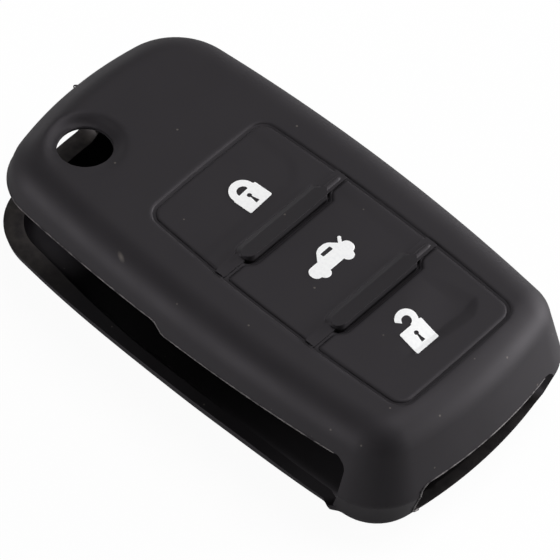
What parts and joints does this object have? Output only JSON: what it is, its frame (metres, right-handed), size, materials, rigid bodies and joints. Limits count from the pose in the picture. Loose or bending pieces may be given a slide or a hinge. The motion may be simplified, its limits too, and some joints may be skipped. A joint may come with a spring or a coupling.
{
  "type": "key fob cover",
  "caption": "Soft hollow sleeve for a flip key, with sprung press pads between raised bars, a side mouth for the blade, a key ring slot at one end and a round release hole.",
  "frame": {"origin": "middle of the back face, which is the bottom of the part", "axes": "+X along the sleeve from the blade end to the key ring end, +Y away from the side mouth, +Z out of the front face with the pads"},
  "size_m": [0.0725, 0.0398, 0.0196],
  "materials": {
    "silicone": "satin black moulded silicone rubber",
    "white_ink": "flat white screen print"
  },
  "bodies": {
    "cover": {"cover_shell": "silicone", "lock_web": "silicone", "boot_web": "silicone", "unlock_web": "silicone"},
    "lock_pad": {"lock_button": "silicone", "lock_print": "white_ink"},
    "boot_pad": {"boot_button": "silicone", "boot_print": "white_ink"},
    "unlock_pad": {"unlock_button": "silicone", "unlock_print": "white_ink"}
  },
  "joints": [
    {"name": "lock_press", "type": "slide", "parent": "cover", "child": "lock_pad", "axis": [0, 0, 1], "range_m": [-0.001, 0], "stiffness_N_per_m": 1000, "deforming": ["lock_web"]},
    {"name": "boot_press", "type": "slide", "parent": "cover", "child": "boot_pad", "axis": [0, 0, 1], "range_m": [-0.001, 0], "stiffness_N_per_m": 1000, "deforming": ["boot_web"]},
    {"name": "unlock_press", "type": "slide", "parent": "cover", "child": "unlock_pad", "axis": [0, 0, 1], "range_m": [-0.001, 0], "stiffness_N_per_m": 1000, "deforming": ["unlock_web"]}
  ]
}
